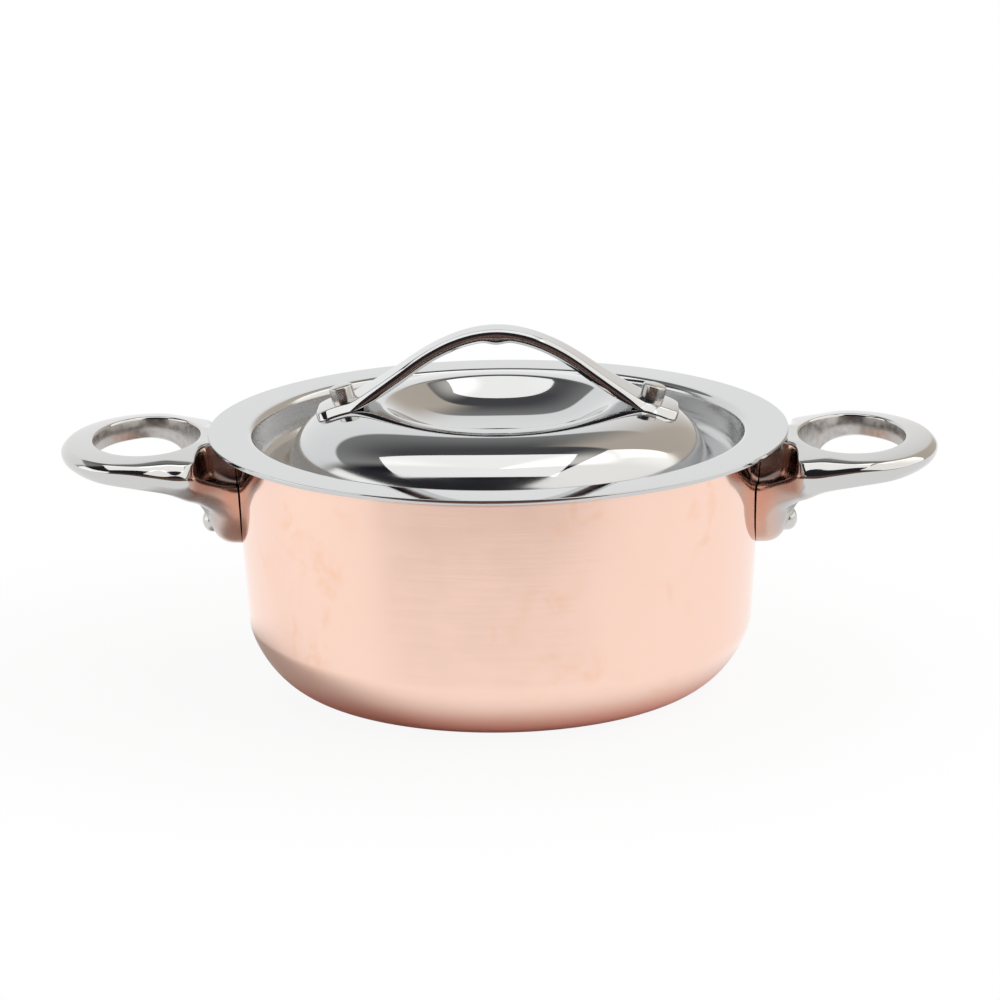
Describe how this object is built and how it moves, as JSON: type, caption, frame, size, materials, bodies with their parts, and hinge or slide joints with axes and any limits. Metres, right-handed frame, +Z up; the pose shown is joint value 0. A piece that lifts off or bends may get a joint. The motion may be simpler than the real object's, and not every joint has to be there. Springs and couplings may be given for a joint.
{
  "type": "sauce pot with lid",
  "caption": "Small straight-sided copper-clad sauce pot with looped cast side handles and a flanged, domed steel lid under an arched riveted strap.",
  "frame": {"origin": "centre of the flat base, at the bottom of the pot", "axes": "+Z up along the axis of the pot and lid, +X through the right side handle and along the arched strap, +Y away from the viewer"},
  "size_m": [0.174, 0.1148, 0.071],
  "materials": {
    "copper": "satin copper, lightly tarnished",
    "aluminium": "plain sheet, hidden inside the wall",
    "brushed_steel": "brushed in rings",
    "polished_steel": "mirror polished stainless steel",
    "cast_steel": "cast stainless steel, polished outside, satin in the finger hole",
    "rivet_steel": "satin stainless steel"
  },
  "bodies": {
    "pot": {"copper_shell": "copper", "aluminium_core": "aluminium", "steel_liner": "brushed_steel", "side_handle_left": "cast_steel", "side_handle_right": "cast_steel", "side_handle_rivet_left": "cast_steel", "side_handle_rivet_right": "cast_steel"},
    "lid": {"lid_shell": "polished_steel", "lid_handle": "polished_steel", "lid_rivet_left": "rivet_steel", "lid_rivet_right": "rivet_steel"}
  },
  "joints": [
    {"name": "lid_lift", "type": "slide", "parent": "pot", "child": "lid", "axis": [0, 0, 1], "range_m": [0, 0.08]}
  ]
}
